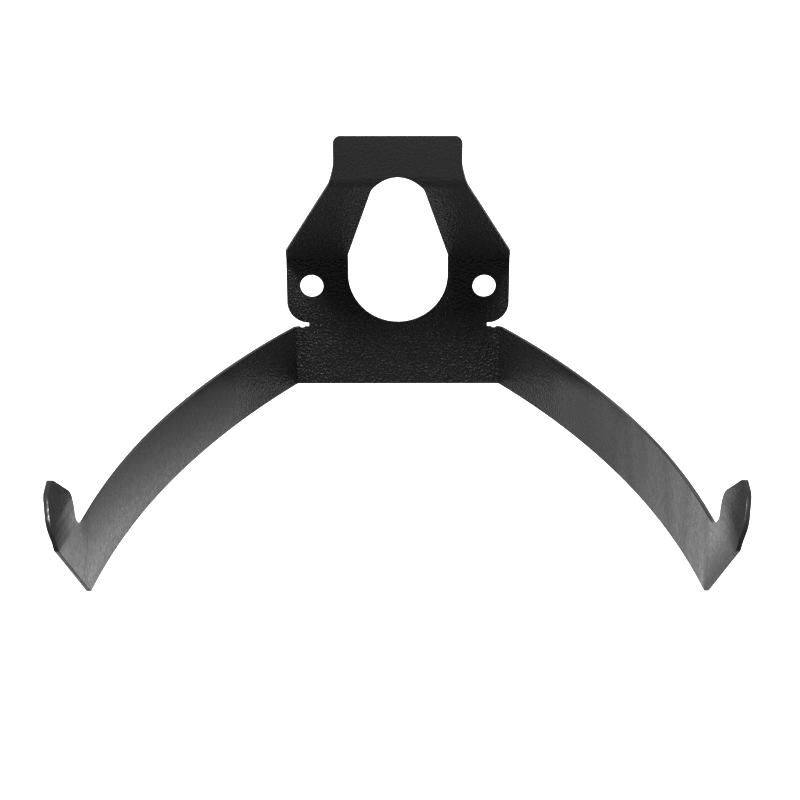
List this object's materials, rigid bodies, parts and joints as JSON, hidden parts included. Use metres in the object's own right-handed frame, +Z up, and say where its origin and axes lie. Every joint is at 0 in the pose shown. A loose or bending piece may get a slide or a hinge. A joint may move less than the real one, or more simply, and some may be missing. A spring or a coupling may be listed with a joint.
{
  "type": "bicycle wall rack",
  "caption": "Wall rack for one bicycle: a bent sheet-steel plate with two curved arms that end in upturned hooks, and a slanted tongue with a pear-shaped opening.",
  "frame": {"origin": "midway between the two screw holes, on the wall face of the plate", "axes": "+X to the right as seen facing the wall, +Y into the wall, +Z up"},
  "size_m": [0.2926, 0.325, 0.1586],
  "materials": {
    "black_powder_coat": "matt black fine-textured powder coat"
  },
  "bodies": {
    "root": {"wall_plate": "black_powder_coat", "tongue": "black_powder_coat", "flange": "black_powder_coat", "left_arm": "black_powder_coat", "right_arm": "black_powder_coat", "left_hook": "black_powder_coat", "right_hook": "black_powder_coat"}
  },
  "joints": []
}
